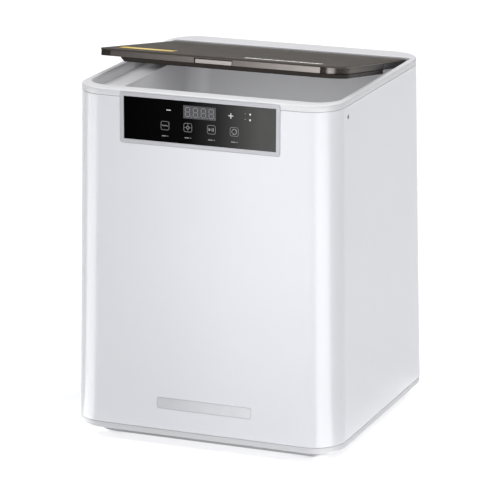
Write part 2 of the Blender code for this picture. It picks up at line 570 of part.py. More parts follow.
def build_io():
    y1, y0 = HALF_D - 2.8, HALF_D - 4.8
    plate = box("io_plate", (IO_X[0], y0, IO_Z[0]), (IO_X[1], y1, IO_Z[1]), "black_plastic", lean=REAR)
    boolean(plate, rod("cut_jack", "Y", (JACK_X, JACK_Z), [(150, 6.0), (175, 6.0)], steps=24))
    boolean(plate, box("cut_switch", (SWITCH_X - 7.8, 150, SWITCH_Z - 11.1), (SWITCH_X + 7.8, 175,
                                                                             SWITCH_Z + 11.1)))
    face = rear_y(JACK_Z) - 2.4
    rod("dc_jack", "Y", (JACK_X, JACK_Z), [(face - 14, 5.7), (face - 0.1, 5.7), (face - 0.1, 7.5),
                                           (face + 1.0, 7.2), (face + 1.0, 3.2), (face - 10, 3.2),
                                           (face - 10, 1.0), (face - 0.5, 1.0)], "black_plastic", steps=20)
    x, z = SWITCH_X, SWITCH_Z
    case = box("switch_housing", (x - 7.5, face - 14, z - 10.8), (x + 7.5, face + 1.4, z + 10.8),
               "black_plastic")
    boolean(case, box("cut_switch_pocket", (x - 5.8, face - 9.5, z - 9.4), (x + 5.8, face + 5, z + 9.4)))
    pivot_y = face - 1.6
    boolean(case, rod("cut_switch_pivot", "X", (pivot_y, z), [(x - 6.7, 1.26), (x + 6.7, 1.26)], steps=16))
    turn = Place(x, pivot_y, z, SWITCH_TILT_DEG)
    shape = [(2.6, -8.5), (1.5, 0.0), (2.6, 8.5), (-1.5, 8.4), (-5.0, 3.0), (-5.0, -3.0), (-1.5, -8.4)]
    rocker = extrude_x("switch_rocker", [(pivot_y + a, z + b) for a, b in shape], x - 5.5, x + 5.5,
                       "plate_grey", place=turn)
    boolean(rocker, rod("join_rocker_pivot", "X", (pivot_y, z), [(x - 6.5, 1.2), (x + 6.5, 1.2)], steps=16,
                        place=turn), "UNION")


def build_nameplate():
    y = -HALF_D
    loops = [panel_strip(z_in, depth) for z_in, depth in ((0.0, 0.9), (0.0, 0.1), (0.3, -0.2))]
    return loft("nameplate", [[(x, y + d, z) for x, z, d in loop] for loop in loops], "plate_grey",
                lean=FRONT)


def panel_strip(inset, depth):
    flat = spans((-54.0 + inset, 63.0 - inset), (48.1 + inset, 60.9 - inset), 2.0, 0.0, steps=2)
    return [(x, z, depth) for x, z, _ in flat]


clear_scene()
build_shell()
build_rim()
build_base()
build_side_screws()
build_panel()
build_chamber()
build_drive()
build_lid()
build_lid_trim()
build_fan()
build_grille()
build_io()
build_nameplate()
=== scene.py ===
"""Looks of a UV curing station: smooth skins, trims, printed marks and procedural materials built around the
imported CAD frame, with a pale floor, soft studio light and the camera.

Shapes are drawn in millimetres in the frame's own axes (front faces -Y, +Z up) and turned into metres when a
mesh is made. Lid pieces are drawn closed and then swung open to the frame's rest pose.
"""

import json
import math

import bmesh
import bpy
from mathutils import Matrix, Vector


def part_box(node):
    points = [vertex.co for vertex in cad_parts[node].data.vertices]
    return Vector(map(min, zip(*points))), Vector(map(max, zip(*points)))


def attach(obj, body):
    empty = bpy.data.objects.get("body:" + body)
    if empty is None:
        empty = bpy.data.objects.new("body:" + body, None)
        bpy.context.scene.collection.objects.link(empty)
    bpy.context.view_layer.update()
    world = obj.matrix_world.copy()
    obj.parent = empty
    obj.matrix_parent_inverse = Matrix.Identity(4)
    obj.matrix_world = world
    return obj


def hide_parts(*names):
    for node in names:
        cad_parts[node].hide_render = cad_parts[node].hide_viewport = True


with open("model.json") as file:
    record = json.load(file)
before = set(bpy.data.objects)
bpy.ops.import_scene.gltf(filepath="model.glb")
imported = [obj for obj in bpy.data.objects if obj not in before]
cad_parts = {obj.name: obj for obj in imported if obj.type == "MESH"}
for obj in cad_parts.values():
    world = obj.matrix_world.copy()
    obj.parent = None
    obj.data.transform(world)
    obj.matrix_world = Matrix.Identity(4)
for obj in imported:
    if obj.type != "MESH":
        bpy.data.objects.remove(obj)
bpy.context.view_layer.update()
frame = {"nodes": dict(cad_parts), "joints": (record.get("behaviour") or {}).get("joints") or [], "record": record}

MM = 0.001
GAP = 0.3
ARC_STEPS = 24  # segments per rounded corner
TURN_STEPS = 72  # segments round a turned piece
SHARP = math.radians(28)


# ---- reading the frame ---------------------------------------------------------------------------------
def box_mm(node):
    """(low, high) corners of a CAD node in millimetres."""
    low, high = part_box(node)
    return low / MM, high / MM


def half_at(node, z):
    """Half width and half depth of a CAD node at the height of its loop nearest z."""
    points = [v.co / MM for v in frame["nodes"][node].data.vertices]
    level = min((abs(p.z - z), p.z) for p in points)[1]
    near = [p for p in points if abs(p.z - level) < 0.2]
    return max(p.x for p in near), max(p.y for p in near)


HINGE = next(joint for joint in frame["joints"] if joint["name"] == "lid_hinge")
HINGE_POS = Vector(HINGE["pos_m"])
LID_REST = -math.radians(HINGE["range_deg"][0])
LID = Matrix.Translation(HINGE_POS) @ Matrix.Rotation(-LID_REST, 4, "X") @ Matrix.Translation(-HINGE_POS)
LID_CLOSE = LID.inverted()


def lid_box_mm(node):
    """(low, high) corners of a lid node with the lid closed, in millimetres."""
    points = [LID_CLOSE @ v.co / MM for v in frame["nodes"][node].data.vertices]
    return (Vector([min(p[i] for p in points) for i in range(3)]),
            Vector([max(p[i] for p in points) for i in range(3)]))


# ---- materials -----------------------------------------------------------------------------------------
def srgb(red, green, blue):
    """Linear colour of a 0-255 screen colour."""
    def one(value):
        v = value / 255
        return v / 12.92 if v <= 0.04045 else ((v + 0.055) / 1.055) ** 2.4
    return one(red), one(green), one(blue)


def tinted(colour, factor):
    return (*[min(1.0, c * factor) for c in colour], 1.0)


class Recipe:
    """A Principled material with node helpers; every pattern is read from object space."""

    def __init__(self, name, rough, metal=0.0, specular=0.5, coat=0.0, coat_rough=0.05):
        self.made = bpy.data.materials.new(name)
        self.made.use_nodes = True
        self.tree = self.made.node_tree
        self.shader = self.tree.nodes["Principled BSDF"]
        self.shader.inputs["Roughness"].default_value = rough
        self.shader.inputs["Metallic"].default_value = metal
        self.shader.inputs["Specular IOR Level"].default_value = specular
        self.shader.inputs["Coat Weight"].default_value = coat
        self.shader.inputs["Coat Roughness"].default_value = coat_rough
        self.where = self.tree.nodes.new("ShaderNodeTexCoord").outputs["Object"]
        self.rough = rough

    def link(self, output, target):
        self.tree.links.new(output, target)

    def stretched(self, scale):
        mapping = self.tree.nodes.new("ShaderNodeMapping")
        mapping.inputs["Scale"].default_value = scale
        self.link(self.where, mapping.inputs["Vector"])
        return mapping.outputs["Vector"]

    def noise(self, scale, detail=2.0, stretch=None):
        texture = self.tree.nodes.new("ShaderNodeTexNoise")
        texture.inputs["Scale"].default_value = scale
        texture.inputs["Detail"].default_value = detail
        self.link(self.stretched(stretch) if stretch else self.where, texture.inputs["Vector"])
        return texture.outputs["Fac"]

    def ramp(self, output, stops):
        node = self.tree.nodes.new("ShaderNodeValToRGB")
        elements = node.color_ramp.elements
        while len(elements) < len(stops):
            elements.new(0.5)
        for element, (position, colour) in zip(elements, stops):
            element.position, element.color = position, colour
        self.link(output, node.inputs["Fac"])
        return node.outputs["Color"]

    def along(self, axis, low_mm, high_mm):
        """0 to 1 along an axis of the piece, between two places in millimetres."""
        split = self.tree.nodes.new("ShaderNodeSeparateXYZ")
        self.link(self.where, split.inputs["Vector"])
        span = self.tree.nodes.new("ShaderNodeMapRange")
        span.inputs["From Min"].default_value = low_mm * MM
        span.inputs["From Max"].default_value = high_mm * MM
        self.link(split.outputs[axis], span.inputs["Value"])
        return span.outputs["Result"]

    def blended(self, first, second, factor, mode="MIX"):
        mix = self.tree.nodes.new("ShaderNodeMix")
        mix.data_type, mix.blend_type = "RGBA", mode
        if isinstance(factor, float):
            mix.inputs["Factor"].default_value = factor
        else:
            self.link(factor, mix.inputs["Factor"])
        for value, socket in ((first, mix.inputs["A"]), (second, mix.inputs["B"])):
            if isinstance(value, tuple):
                socket.default_value = value
            else:
                self.link(value, socket)
        return mix.outputs["Result"]

    def colour(self, output):
        self.link(output, self.shader.inputs["Base Color"])
        return self

    def uneven_gloss(self, spread, scale):
        span = self.tree.nodes.new("ShaderNodeMapRange")
        span.inputs["To Min"].default_value = self.rough - spread
        span.inputs["To Max"].default_value = self.rough + spread
        self.link(self.noise(scale, 3.0), span.inputs["Value"])
        self.link(span.outputs["Result"], self.shader.inputs["Roughness"])
        return self

    def bump(self, height, depth_mm, strength=1.0):
        node = self.tree.nodes.new("ShaderNodeBump")
        node.inputs["Distance"].default_value = depth_mm * MM
        node.inputs["Strength"].default_value = strength
        self.link(height, node.inputs["Height"])
        self.link(node.outputs["Normal"], self.shader.inputs["Normal"])
        return self


def moulded(name, colour, rough, spread=0.015, grain=900.0, depth=0.004, specular=0.5, coat=0.0):
    """Moulded plastic: a slow drift of tone, uneven gloss and a fine mould grain."""
    recipe = Recipe(name, rough, specular=specular, coat=coat)
    stops = [(0.3, tinted(colour, 1 - spread)), (0.7, tinted(colour, 1 + spread))]
    recipe.colour(recipe.ramp(recipe.noise(9.0, 3.0), stops))
    recipe.uneven_gloss(min(0.05, rough * 0.3), 60.0)
    return recipe.bump(recipe.noise(grain, 4.0), depth).made


def graded(name, stops, span, rough, specular=0.5, coat=0.0, grain=500.0, depth=0.003, across=None):
    """Plastic or glass whose colour runs along X; on the glass, lid skirt, fascia and nameplate that run is
    painted reflection, light and shade. stops are (place from 0 to 1, colour).
    across is (axis, span, tone at its far end), for a second run of painted shade that darkens the piece along
    that axis."""
    recipe = Recipe(name, rough, specular=specular, coat=coat)
    base = recipe.ramp(recipe.along("X", *span), [(at, (*colour, 1.0)) for at, colour in stops])
    if across:
        axis, second_span, far = across
        shade = recipe.ramp(recipe.along(axis, *second_span), [(0.0, (1, 1, 1, 1)), (1.0, (far, far, far, 1))])
        base = recipe.blended(base, shade, 1.0, "MULTIPLY")
    speckle = recipe.ramp(recipe.noise(70.0, 5.0), [(0.35, (0.96, 0.96, 0.96, 1)), (0.65, (1, 1, 1, 1))])
    recipe.colour(recipe.blended(base, speckle, 1.0, "MULTIPLY"))
    recipe.uneven_gloss(min(0.04, rough * 0.3), 40.0)
    return recipe.bump(recipe.noise(grain, 3.0), depth).made


def brushed(name, colour, rough, stretch, metal=1.0):
    """Metal with fine drawn lines along the axis that stretch shortens."""
    recipe = Recipe(name, rough, metal=metal)
    lines = recipe.noise(420.0, 6.0, stretch)
    recipe.colour(recipe.ramp(lines, [(0.3, tinted(colour, 0.86)), (0.7, tinted(colour, 1.06))]))
    recipe.uneven_gloss(0.08, 120.0)
    return recipe.bump(lines, 0.01).made


def circuit(name, mask, copper):
    """Circuit board: solder mask over a lattice of tracks, with pale pads."""
    recipe = Recipe(name, 0.35, coat=0.4)
    bricks = recipe.tree.nodes.new("ShaderNodeTexBrick")
    bricks.inputs["Scale"].default_value = 140.0
    bricks.inputs["Mortar Size"].default_value = 0.03
    bricks.inputs["Color1"].default_value = tinted(mask, 0.9)
    bricks.inputs["Color2"].default_value = tinted(mask, 1.1)
    bricks.inputs["Mortar"].default_value = tinted(copper, 1.0)
    recipe.link(recipe.where, bricks.inputs["Vector"])
    cells = recipe.tree.nodes.new("ShaderNodeTexVoronoi")
    cells.inputs["Scale"].default_value = 260.0
    recipe.link(recipe.where, cells.inputs["Vector"])
    pads = recipe.ramp(cells.outputs["Distance"], [(0.12, (1, 1, 1, 1)), (0.16, (0, 0, 0, 1))])
    recipe.colour(recipe.blended(bricks.outputs["Color"], tinted((0.7, 0.7, 0.66), 1.0), pads))
    return recipe.bump(bricks.outputs["Fac"], 0.02).made


def see_through(name, colour, rough, alpha):
    recipe = Recipe(name, rough)
    recipe.shader.inputs["Alpha"].default_value = alpha
    stops = [(0.3, tinted(colour, 0.97)), (0.7, tinted(colour, 1.0))]
    recipe.colour(recipe.ramp(recipe.noise(40.0, 3.0), stops))
    return recipe.bump(recipe.noise(300.0, 2.0), 0.01).made


WHITE = (0.625, 0.63, 0.655)
SHELL = moulded("shell_white", WHITE, 0.22, spread=0.008, grain=160.0, depth=0.001)
RIM = moulded("rim_white", (0.575, 0.575, 0.59), 0.38, grain=1400.0, depth=0.006)
SKIRT = moulded("skirt_white", (0.50, 0.50, 0.515), 0.42, grain=1400.0, depth=0.006)
BASE = moulded("base_grey", (0.37, 0.37, 0.385), 0.55, spread=0.03, grain=1200.0, depth=0.012)
FOOT = moulded("foot_rubber", (0.33, 0.33, 0.345), 0.75, spread=0.05, grain=700.0, depth=0.03)
BEZEL = moulded("frame_silver", (0.42, 0.42, 0.445), 0.33, grain=1800.0, depth=0.004)
# Painted reflection: the glass has no specular reflection of its own. Its colour, near black at the left end and
# grey towards the right end, paints the floor's reflection.
GLASS = graded("panel_glass", [(0.0, (0.0012, 0.0012, 0.0012)), (0.42, (0.003, 0.003, 0.003)),
                               (0.62, (0.020, 0.020, 0.020)), (0.9, (0.07, 0.071, 0.068))],
               (-92, 92), 0.06, specular=0.0)
WINDOW = moulded("display_window", (0.062, 0.062, 0.067), 0.18, spread=0.06, specular=0.3)
SEGMENT = moulded("display_segment", (0.145, 0.145, 0.145), 0.4, spread=0.04)
INK = moulded("panel_ink", (0.21, 0.21, 0.215), 0.5, spread=0.05)
INK_BRIGHT = moulded("panel_ink_bright", (0.55, 0.55, 0.55), 0.5, spread=0.04)
BLACK = moulded("black_plastic", (0.018, 0.018, 0.019), 0.45, spread=0.2, grain=1300.0, depth=0.012)
BOARD = circuit("circuit_board", (0.015, 0.12, 0.045), (0.05, 0.24, 0.10))
LAMP_BOARD = circuit("lamp_board", (0.72, 0.72, 0.70), (0.50, 0.50, 0.47))
LINER = moulded("liner_grey", (0.60, 0.60, 0.615), 0.42, spread=0.02, grain=900.0, depth=0.008)
CLEAR = see_through("clear_window", (0.75, 0.80, 0.88), 0.12, 0.45)
STEEL = brushed("steel", (0.56, 0.56, 0.575), 0.32, (1.0, 1.0, 0.08))
DARK_STEEL = brushed("dark_steel", (0.10, 0.10, 0.105), 0.45, (1.0, 1.0, 0.08))
LID_TOP = moulded("lid_tint", (0.073, 0.064, 0.054), 0.3, spread=0.02, grain=120.0, depth=0.0006,
                 specular=0.1)
# Painted light and shade on the lid's skirt, whose specular is nearly off: a painted shade at its left end, and
# near the front right corner (x 119 to 145) a dark, bright, dark run that paints the reflections of the curved
# glossy corner. The across run is painted shade that darkens the side walls towards the rear.
LID_WALL = graded("lid_wall_painted_light_and_shade", [(0.0, (0.030, 0.027, 0.024)), (0.04, (0.040, 0.036, 0.032)),
                               (0.06, (0.16, 0.14, 0.125)), (0.88, (0.16, 0.14, 0.125)),
                               (0.905, (0.038, 0.031, 0.028)), (0.928, (0.05, 0.042, 0.038)),
                               (0.938, (0.56, 0.52, 0.49)), (0.952, (0.56, 0.52, 0.49)),
                               (0.963, (0.075, 0.065, 0.056)), (0.980, (0.08, 0.068, 0.06)),
                               (0.990, (0.105, 0.092, 0.080))], (-152, 148), 0.2,
                  across=("Y", (-75, 45), 0.15), specular=0.05)
LID_TRAY = moulded("lid_tray", (0.034, 0.029, 0.026), 0.35, spread=0.05, specular=0.05)
# The fascia's colour runs from dark at its left end to pale at its right end: painted shade at the left end and
# painted light towards the right end.
LID_FASCIA_PAINTED_LIGHT = graded("lid_tint_light", [(0.0, (0.075, 0.066, 0.060)), (0.40, (0.175, 0.157, 0.145)),
                                      (0.60, (0.19, 0.172, 0.160)), (1.0, (0.44, 0.40, 0.375))],
                   (-138, 120), 0.3)
LATCH = graded("lid_latch_tone", [(0.0, (0.44, 0.41, 0.385)), (1.0, (0.50, 0.465, 0.44))], (-34, 13), 0.3)
YELLOW = graded("accent_yellow", [(0.0, (0.84, 0.58, 0.12)), (0.45, (0.86, 0.66, 0.24)),
                                  (1.0, (0.70, 0.50, 0.14))], (-138, -73), 0.35)
PLATE = brushed("plate_grey", (0.30, 0.30, 0.32), 0.35, (0.04, 1.0, 1.0), metal=0.0)
TABLE = moulded("table_white", (0.74, 0.74, 0.76), 0.35, grain=1100.0, depth=0.006)
CABLE = moulded("cable_grey", (0.40, 0.40, 0.42), 0.6, spread=0.06)
SLOT_LOOKS = {
    "shell_white": SHELL, "rim_white": RIM, "skirt_white": SKIRT, "base_grey": BASE, "foot_rubber": FOOT,
    "frame_silver": BEZEL, "panel_glass": GLASS, "black_plastic": BLACK, "circuit_board": BOARD,
    "lamp_board": LAMP_BOARD, "liner_grey": LINER, "clear_window": CLEAR, "steel": STEEL, "lid_tint": LID_TOP,
    "lid_tint_light": LID_FASCIA_PAINTED_LIGHT, "accent_yellow": YELLOW, "plate_grey": PLATE, "table_white": TABLE,
    "cable_grey": CABLE,
}


# ---- mesh helpers --------------------------------------------------------------------------------------
def solid(name, points, faces):
    """A smooth-shaded mesh object from points in millimetres."""
    build = bmesh.new()
    made = [build.verts.new([c * MM for c in p]) for p in points]
    for face in faces:
        build.faces.new([made[i] for i in face])
    bmesh.ops.recalc_face_normals(build, faces=build.faces)
    mesh = bpy.data.meshes.new(name)
    build.to_mesh(mesh)
    build.free()
    obj = bpy.data.objects.new(name, mesh)
    bpy.context.scene.collection.objects.link(obj)
    return obj


def loft(name, loops, ring=False):
    """Skins matching loops in order. ring joins the last to the first, and otherwise both ends are capped."""
    count = len(loops[0])
    points = [p for loop in loops for p in loop]
    pairs = [(i, i + 1) for i in range(len(loops) - 1)] + ([(len(loops) - 1, 0)] if ring else [])
    faces = [(a * count + k, a * count + (k + 1) % count, b * count + (k + 1) % count, b * count + k)
             for a, b in pairs for k in range(count)]
    if not ring:
        last = (len(loops) - 1) * count
        faces += [tuple(range(count)), tuple(range(last, last + count))]
    return solid(name, points, faces)


def grown_radii(radii, by):
    """Corner radii after the outline has moved out by some distance, or in if it is negative."""
    return tuple(max(radius + by, 0.3) for radius in radii)


def rounded(x, y, radii, steps=ARC_STEPS):
    """A rounded rectangle over spans x and y, as (x, y) points. radii is one radius, or one per corner: front
    right, rear right, rear left, front left."""
    fr, rr, rl, fl = radii if isinstance(radii, tuple) else (radii,) * 4
    loop = []
    for cx, cy, start, radius in ((x[1] - fr, y[0] + fr, -90, fr), (x[1] - rr, y[1] - rr, 0, rr),
                                  (x[0] + rl, y[1] - rl, 90, rl), (x[0] + fl, y[0] + fl, 180, fl)):
        for k in range(steps + 1):
            a = math.radians(start + 90 * k / steps)
            loop.append((cx + radius * math.cos(a), cy + radius * math.sin(a)))
    return loop


def eased(profile, closed=False, steps=4):
    """Rounds the corners of a profile of (a, b, radius) points, giving (a, b) points."""
    out, count = [], len(profile)
    for i, (a, b, radius) in enumerate(profile):
        if radius == 0 or (not closed and i in (0, count - 1)):
            out.append((a, b))
            continue
        here = Vector((a, b))
        ends = []
        for other in (profile[i - 1], profile[(i + 1) % count]):
            way = Vector(other[:2]) - here
            ends.append(here + way.normalized() * min(radius, way.length * 0.49))
        for k in range(steps + 1):
            t = k / steps
            point = ends[0] * (1 - t) ** 2 + here * 2 * t * (1 - t) + ends[1] * t ** 2
            out.append((point.x, point.y))
    return out


def turned(name, centre, profile, axis="Z", closed=False, steps=TURN_STEPS):
    """A turned piece from a profile of (radius, place along the axis, easing)."""
    loops = []
    for radius, at in eased(profile, closed):
        loop = []
        for k in range(steps):
            c = radius * math.cos(2 * math.pi * k / steps)
            s = radius * math.sin(2 * math.pi * k / steps)
            loop.append({"X": (at, centre[0] + c, centre[1] + s),
                         "Y": (centre[0] + c, at, centre[1] + s),
                         "Z": (centre[0] + c, centre[1] + s, at)}[axis])
        loops.append(loop)
    return loft(name, loops, ring=closed)


def block(name, low, high, radius=0.0, edge=0.0, steps=6):
    """A slab with plan corners of the given radius and eased top and bottom edges."""
    z0, z1 = low[2], high[2]
    profile = eased([(edge + 1, z0, 0), (0, z0, edge), (0, z1, edge), (edge + 1, z1, 0)]) if edge else \
        [(0, z0), (0, z1)]
    loops = []
    for inset, z in profile:
        shape = rounded((low[0] + inset, high[0] - inset), (low[1] + inset, high[1] - inset),
                        max(radius - inset, 0.02), steps)
        loops.append([(x, y, z) for x, y in shape])
    return loft(name, loops)


def panel_block(name, x, z, depth, radius, edge=0.0, steps=8):
    """A slab in the front plane: spans x and z, from depth[0] (back) to depth[1] (face) in y."""
    back, face = depth
    profile = eased([(0, back, 0), (0, face, edge), (edge + 1, face, 0)]) if edge else [(0, back), (0, face)]
    loops = []
    for inset, y in profile:
        shape = rounded((x[0] + inset, x[1] - inset), (z[0] + inset, z[1] - inset),
                        max(radius - inset, 0.02), steps)
        loops.append([(px, y, pz) for px, pz in shape])
    return loft(name, loops)


def boolean(target, other, operation="DIFFERENCE"):
    step = target.modifiers.new(other.name, "BOOLEAN")
    step.operation, step.object, step.solver = operation, other, "EXACT"
    return target


def settle(obj):
    """Applies the modifiers and removes the cutters they used."""
    helpers = [step.object for step in obj.modifiers if step.type == "BOOLEAN"]
    graph = bpy.context.evaluated_depsgraph_get()
    mesh = bpy.data.meshes.new_from_object(obj.evaluated_get(graph))
    obj.modifiers.clear()
    obj.data = mesh
    mesh.name = obj.name
    for helper in helpers:
        bpy.data.objects.remove(helper, do_unlink=True)
    return obj


def bevelled(obj, width_mm, segments=3):
    step = obj.modifiers.new("edges", "BEVEL")
    step.width, step.segments = width_mm * MM, segments
    step.limit_method, step.angle_limit = "ANGLE", math.radians(35)
    return obj


def leaned(obj, sign):
    """Shears a piece onto the drafted front (-1) or rear (+1) wall."""
    for vertex in obj.data.vertices:
        vertex.co.y += sign * (SEAM_Z * MM - vertex.co.z) * DRAFT_Y
    return obj


def finished(obj, look, body="housing", replaces=(), lid=False):
    """Applies modifiers, shades smooth, gives the look, and rides the piece on its body."""
    settle(obj)
    mesh = obj.data
    mesh.materials.clear()
    mesh.materials.append(look)
    mesh.shade_smooth()
    mesh.set_sharp_from_angle(angle=SHARP)
    normals = obj.modifiers.new("normals", "WEIGHTED_NORMAL")
    normals.keep_sharp = True
    if lid:
        obj.matrix_world = LID
    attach(obj, body)
    if replaces:
        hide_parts(*replaces)
    return obj


def lid_finished(obj, look, replaces=()):
    return finished(obj, look, "lid", replaces, lid=True)


# ---- housing -------------------------------------------------------------------------------------------
SHELL_LOW, SHELL_HIGH = box_mm("outer_shell")
SEAM_Z = SHELL_HIGH.z + GAP
TOP_HALF, LOW_HALF = half_at("outer_shell", SHELL_HIGH.z), half_at("outer_shell", SHELL_LOW.z)
RISE = SHELL_HIGH.z - SHELL_LOW.z
DRAFT_X = (LOW_HALF[0] - TOP_HALF[0]) / RISE
DRAFT_Y = (LOW_HALF[1] - TOP_HALF[1]) / RISE
CORNER_R, WALL = 38.0, 3.0
FRONT, REAR = -1, 1


def hull(z, inset=0.0, at=None):
    """Outline of the drafted housing at height z, moved in by inset; at fixes the height it is measured at."""
    drop = max(SEAM_Z - (z if at is None else at), 0.0)
    half_x = TOP_HALF[0] + (drop - GAP) * DRAFT_X - inset
    half_y = TOP_HALF[1] + (drop - GAP) * DRAFT_Y - inset
    return [(x, y, z) for x, y in rounded((-half_x, half_x), (-half_y, half_y), CORNER_R - inset)]


def grown(node, by=GAP):
    low, high = box_mm(node)
    return low - Vector((by, by, by)), high + Vector((by, by, by))


def build_shell():
    profile = eased([(0, SHELL_LOW.z, 0.5), (0, SHELL_HIGH.z, 0.45), (WALL, SHELL_HIGH.z, 0),
                     (WALL, SHELL_LOW.z, 0)], closed=True)
    shell = loft("shell_skin", [hull(z, inset) for inset, z in profile], ring=True)
    low, high = grown("panel_frame")
    boolean(shell, panel_block("cut_panel", (low.x, high.x), (low.z, high.z + 20), (-130, -180), 3.3))
    low, high = box_mm("fan_grille")
    centre = ((low.x + high.x) / 2, (low.z + high.z) / 2)
    boolean(shell, turned("cut_fan", centre, [(28.4, 148, 0), (28.4, 178, 0)], "Y"))
    low, high = grown("io_plate")
    boolean(shell, panel_block("cut_io", (low.x, high.x), (low.z, high.z), (180, 148), 0.6))
    low, high = grown("nameplate")
    boolean(shell, leaned(panel_block("cut_plate", (low.x, high.x), (low.z, high.z),
                                      (-TOP_HALF[1] + 1.2, -TOP_HALF[1] - 6), 2.2), FRONT))
    for side, sign in (("left", -1), ("right", 1)):
        low, high = box_mm(f"shell_screw_{side}")
        centre = ((low.y + high.y) / 2, (low.z + high.z) / 2)
        boolean(shell, turned(f"cut_{side}", centre, [(2.7, sign * 150, 0), (2.7, sign * 170, 0)], "X", steps=32))
    return finished(shell, SHELL, replaces=["outer_shell"])


def build_rim():
    low, high = box_mm("top_rim")
    top, shelf = high.z, RIM_SHELF
    under = shelf - 3.0

    def pocket(z, grow):
        return [(x, y, z) for x, y in rounded((POCKET_X[0] - grow, POCKET_X[1] + grow),
                                              (POCKET_Y[0] - grow, POCKET_Y[1] + grow),
                                              grown_radii(POCKET_R, grow))]

    def mouth(z, grow):
        return [(x, y, z) for x, y in rounded((MOUTH_X[0] - grow, MOUTH_X[1] + grow),
                                              (MOUTH_Y[0] - grow, MOUTH_Y[1] + grow),
                                              grown_radii(MOUTH_R, grow))]

    outer = eased([(6.8, SEAM_Z, 0), (0, SEAM_Z, 0.4), (0, top, 2.4), (4.0, top, 0)])
    loops = [hull(z, inset, SEAM_Z) for inset, z in outer]
    loops += [pocket(z, grow) for grow, z in eased([(4.0, top, 0), (0, top, 1.6), (0, shelf, 0.8),
                                                    (-0.28, shelf, 0)])[1:]]
    loops += [mouth(z, grow) for grow, z in eased([(0.7, shelf, 0), (0, shelf, 0.6), (0, under, 0)])[0:]]
    loops += [hull(under, 6.8, SEAM_Z)]
    rim = loft("rim_skin", loops, ring=True)
    low, high = grown("panel_frame")
    boolean(rim, panel_block("cut_rim_panel", (low.x, high.x), (380, high.z), (-139.0, -180), 3.3))
    return finished(rim, RIM, replaces=["top_rim"])


RIM_LOW, RIM_HIGH = box_mm("top_rim")
RIM_SHELF = 407.4
POCKET_X, POCKET_Y, POCKET_R = (-152.6, 152.6), (-136.0, 125.4), (28.0, 5.0, 5.0, 28.0)
MOUTH_X, MOUTH_Y, MOUTH_R = (-124.6, 149.5), (-98.0, 118.0), (26.0, 26.0, 26.0, 5.0)


def build_base():
    low, high = box_mm("base_skirt")

    def ring(z, inset):
        half_x, half_y = high.x - inset, high.y - inset
        return [(x, y, z) for x, y in rounded((-half_x, half_x), (-half_y, half_y), CORNER_R - inset)]

    profile = eased([(0, low.z, 1.8), (0, high.z, 0.4), (15, high.z, 0), (15, low.z, 0)], closed=True)
    finished(loft("skirt_skin", [ring(z, inset) for inset, z in profile], ring=True), SKIRT,
             replaces=["base_skirt"])

    low, high = box_mm("base_plate")
    inset = box_mm("base_skirt")[1].x - high.x
    profile = eased([(inset + 6, low.z, 0), (inset, low.z, 1.6), (inset, high.z, 0.5), (inset + 4, high.z, 0),
                     (inset + 4, low.z + 3, 0)])
    base = loft("base_skin", [ring(z, depth) for depth, z in profile])
    for k in range(7):
        x = -72 + 24 * k
        boolean(base, block(f"cut_vent_{k}", (x - 3, -45, 0), (x + 3, 65, 12), 2.9))
    finished(base, BASE, replaces=["base_plate"])
    for name in ("fl", "fr", "bl", "br"):
        low, high = box_mm(f"foot_{name}")
        centre = ((low.x + high.x) / 2, (low.y + high.y) / 2)
        foot = turned(f"foot_skin_{name}", centre,
                      [(3.4, 0, 0.3), (8.4, 0, 0.8), (9.0, 1.5, 0.8), (9.0, high.z, 0.3), (1.9, high.z, 0),
                       (1.9, 3.2, 0), (3.4, 3.2, 0)], closed=True)
        finished(foot, FOOT, replaces=[f"foot_{name}"])


def build_nameplate():
    """A plain blank plate with a fine border line, let into the front."""
    low, high = box_mm("nameplate")
    span_x, span_z = (low.x, high.x), (low.z, high.z)
    face = -TOP_HALF[1]
    plate = panel_block("nameplate_skin", span_x, span_z, (face + 0.9, face - 0.2), 2.0, edge=0.3)
    finished(leaned(plate, FRONT), NAMEPLATE_PAINTED_LIGHT, replaces=["nameplate"])


# Painted light: the plate's colour grows lighter from its left end to its right end, copying the brightening of
# the lit front wall around it.
NAMEPLATE_PAINTED_LIGHT = graded("nameplate_painted_light", [(0.0, (0.50, 0.50, 0.52)), (0.5, (0.56, 0.56, 0.58)),
                                      (1.0, (0.62, 0.62, 0.645))], (-54, 63), 0.35)


# ---- touch panel ---------------------------------------------------------------------------------------
GLASS_LOW, GLASS_HIGH = box_mm("control_glass")
PANEL_FACE = -TOP_HALF[1] - 0.5


def panel_ring(inset, depth, span_x, span_z, radius):
    shape = rounded((span_x[0] + inset, span_x[1] - inset), (span_z[0] + inset, span_z[1] - inset),
                    max(radius - inset, 0.3), 8)
    return [(x, PANEL_FACE + depth, z) for x, z in shape]


def build_panel():
    low, high = box_mm("panel_frame")
    span_x, span_z = (low.x, high.x), (low.z, high.z)
    rim_w = GLASS_LOW.x - GAP - low.x
    profile = eased([(0, 6.5, 0), (0, 0.0, 0.6), (rim_w, 0.0, 0.5), (rim_w, 6.5, 0)], closed=True)
    ring = loft("panel_frame_skin", [panel_ring(inset, depth, span_x, span_z, 3.0) for inset, depth in profile],
                ring=True)
    finished(leaned(ring, FRONT), BEZEL, replaces=["panel_frame"])

    span_x, span_z = (GLASS_LOW.x, GLASS_HIGH.x), (GLASS_LOW.z, GLASS_HIGH.z)
    profile = eased([(0, 2.8, 0), (0, 0.2, 0.35), (1.2, 0.2, 0)])
    glass = loft("control_glass_skin", [panel_ring(inset, depth, span_x, span_z, 2.2)
                                        for inset, depth in profile])
    finished(leaned(glass, FRONT), GLASS, replaces=["control_glass"])


INK_FACE = PANEL_FACE + 0.2


